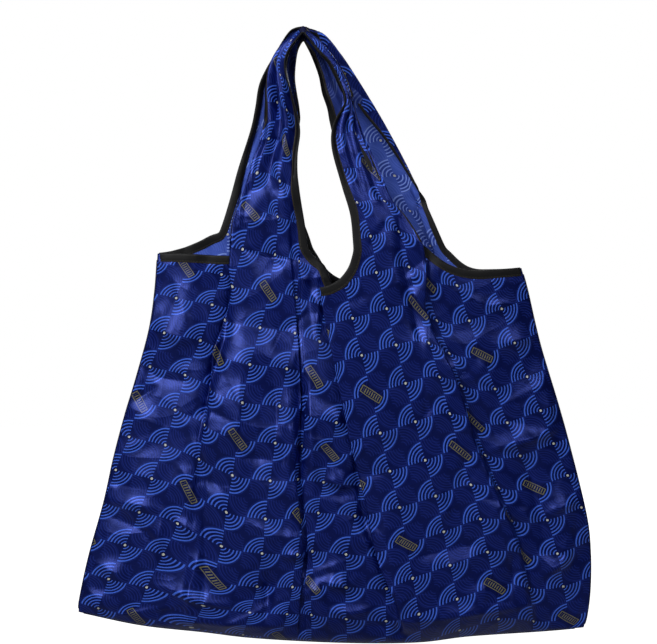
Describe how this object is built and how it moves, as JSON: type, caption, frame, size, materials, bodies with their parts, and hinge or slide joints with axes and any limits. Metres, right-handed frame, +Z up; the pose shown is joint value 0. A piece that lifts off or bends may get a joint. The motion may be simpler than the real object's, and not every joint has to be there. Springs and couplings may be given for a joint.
{
  "type": "foldable tote bag",
  "caption": "Foldable shopping tote with two wide handle loops cut in one with its panels, black edge tape and an all-over blue arc print, hanging from its handles.",
  "frame": {"origin": "inside top of the two handle loops, where a hook or a hand holds the hanging bag", "axes": "+X across the bag to the viewer's right, -Y out of its front, +Z up"},
  "size_m": [0.4973, 0.0602, 0.6018],
  "materials": {
    "print_cloth": "semi-gloss woven polyester with an all-over print of arcs",
    "edge_tape": "matte folded tape, stitched along its edge",
    "seam_cloth": "folded seam allowance of the same cloth"
  },
  "bodies": {
    "handles": {"front_strap_left": "print_cloth", "front_strap_right": "print_cloth", "front_top_seam": "print_cloth", "front_inner_tape": "edge_tape", "front_outer_tape": "edge_tape", "back_strap_left": "print_cloth", "back_strap_right": "print_cloth", "back_top_seam": "print_cloth", "back_inner_tape": "edge_tape", "back_outer_tape": "edge_tape"},
    "bag": {"front_panel": "print_cloth", "back_panel": "print_cloth", "front_neck_tape": "edge_tape", "back_neck_tape": "edge_tape", "mouth_tape_left": "edge_tape", "mouth_tape_right": "edge_tape", "side_seam_left": "seam_cloth", "side_seam_right": "seam_cloth", "bottom_seam": "seam_cloth"}
  },
  "joints": [
    {"name": "body_swing", "type": "hinge", "parent": "handles", "child": "bag", "pos_m": [0.02, 0, -0.191], "axis": [1, 0, 0], "range_deg": [-30, 30]}
  ]
}
